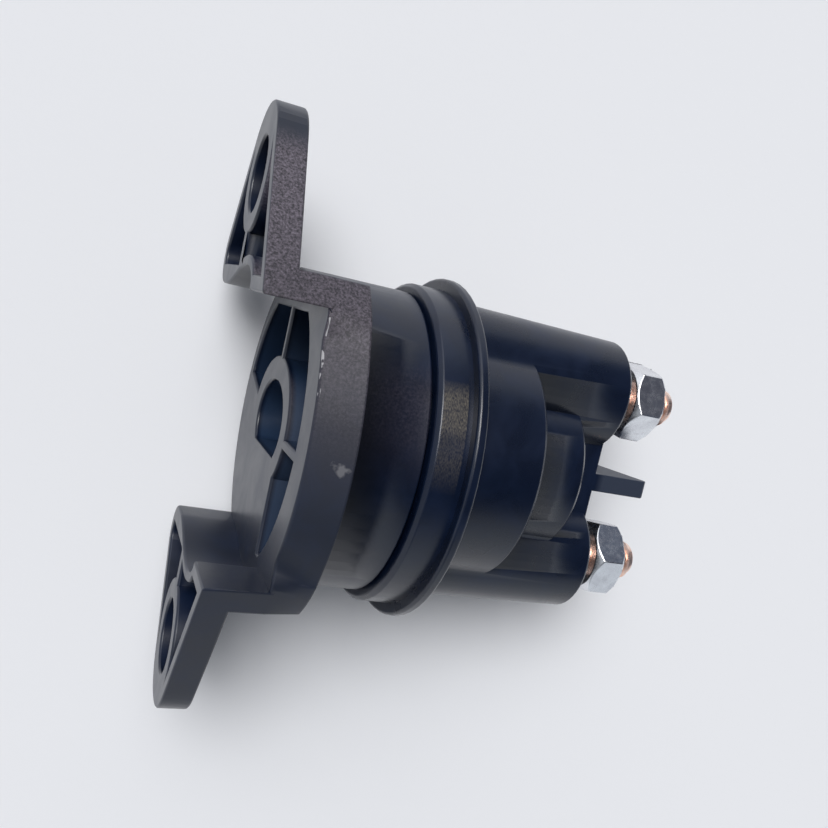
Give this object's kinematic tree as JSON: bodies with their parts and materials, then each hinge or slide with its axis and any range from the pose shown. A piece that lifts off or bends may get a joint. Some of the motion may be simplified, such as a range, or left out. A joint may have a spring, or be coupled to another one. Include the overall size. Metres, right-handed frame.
{
  "type": "starter relay",
  "caption": "Small-engine starter relay: moulded housing with two mounting ears, terminal cap, threaded studs with nuts, coil, plunger and contact bridge inside.",
  "frame": {"origin": "midway between the two ear holes, on the plane of the ears' rear faces", "axes": "+X along the relay's axis from the mounting panel towards the studs, +Y towards the upper ear, +Z away from the blade terminals"},
  "size_m": [0.0719, 0.0848, 0.0523],
  "materials": {
    "black_nylon": "glass-filled nylon, semi-gloss with spark-eroded areas",
    "copper": "bright copper",
    "zinc_plate": "bright zinc plate",
    "steel": "turned steel",
    "spring_steel": "drawn wire",
    "white_nylon": "moulded",
    "enamelled_wire": "enamelled copper wire",
    "brass": "stamped",
    "fibre": "vulcanised fibre",
    "rubber": "matt"
  },
  "bodies": {
    "relay_body": {"rear_housing": "black_nylon", "terminal_cap": "black_nylon", "seal_ring": "rubber", "rear_yoke_plate": "steel", "yoke_tube": "steel", "front_yoke_plate": "steel", "bobbin": "white_nylon", "coil_winding": "enamelled_wire", "fixed_core": "steel", "upper_blade_terminal": "brass", "lower_blade_terminal": "brass", "upper_coil_lead": "enamelled_wire", "lower_coil_lead": "enamelled_wire", "return_spring": "spring_steel", "upper_stud": "copper", "lower_stud": "copper", "upper_nut": "zinc_plate", "lower_nut": "zinc_plate"},
    "armature": {"plunger": "steel", "plunger_rod": "steel", "spring_washer": "steel", "contact_spring": "spring_steel", "contact_bush": "white_nylon", "contact_bridge": "copper", "insulating_washer": "fibre", "retaining_clip": "spring_steel"}
  },
  "joints": [
    {"name": "plunger_slide", "type": "slide", "parent": "relay_body", "child": "armature", "axis": [1, 0, 0], "range_m": [0, 0.002], "stiffness_N_per_m": 400, "springref_m": -0.003, "deforming": ["return_spring"]}
  ]
}
